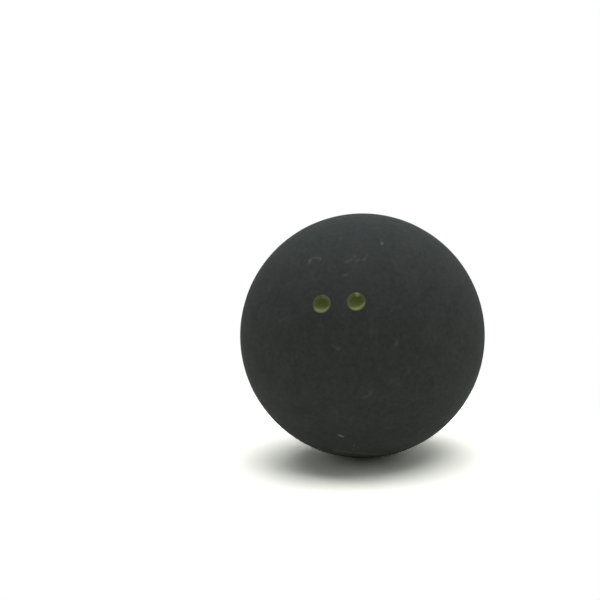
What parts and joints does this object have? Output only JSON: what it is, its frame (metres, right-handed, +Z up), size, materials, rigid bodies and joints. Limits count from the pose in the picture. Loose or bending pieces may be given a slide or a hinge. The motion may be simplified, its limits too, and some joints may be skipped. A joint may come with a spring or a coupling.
{
  "type": "squash ball",
  "caption": "Small hollow matte black rubber ball for squash, glued from moulded half shells, with yellow paint dots in shallow pits.",
  "frame": {"origin": "centre of the ball", "axes": "+Z up, the seam between the two half shells in the XZ plane, +Y out through the middle of the rear half shell, and the two yellow dots level with each other on the -Y side, one on each side of the YZ plane"},
  "size_m": [0.04, 0.04, 0.04],
  "materials": {
    "black_rubber": "matte",
    "seam_adhesive": "satin",
    "yellow_paint": "gloss"
  },
  "bodies": {
    "root": {"front_half_shell": "black_rubber", "rear_half_shell": "black_rubber", "seam_adhesive": "seam_adhesive", "left_yellow_dot": "yellow_paint", "right_yellow_dot": "yellow_paint"}
  },
  "joints": []
}
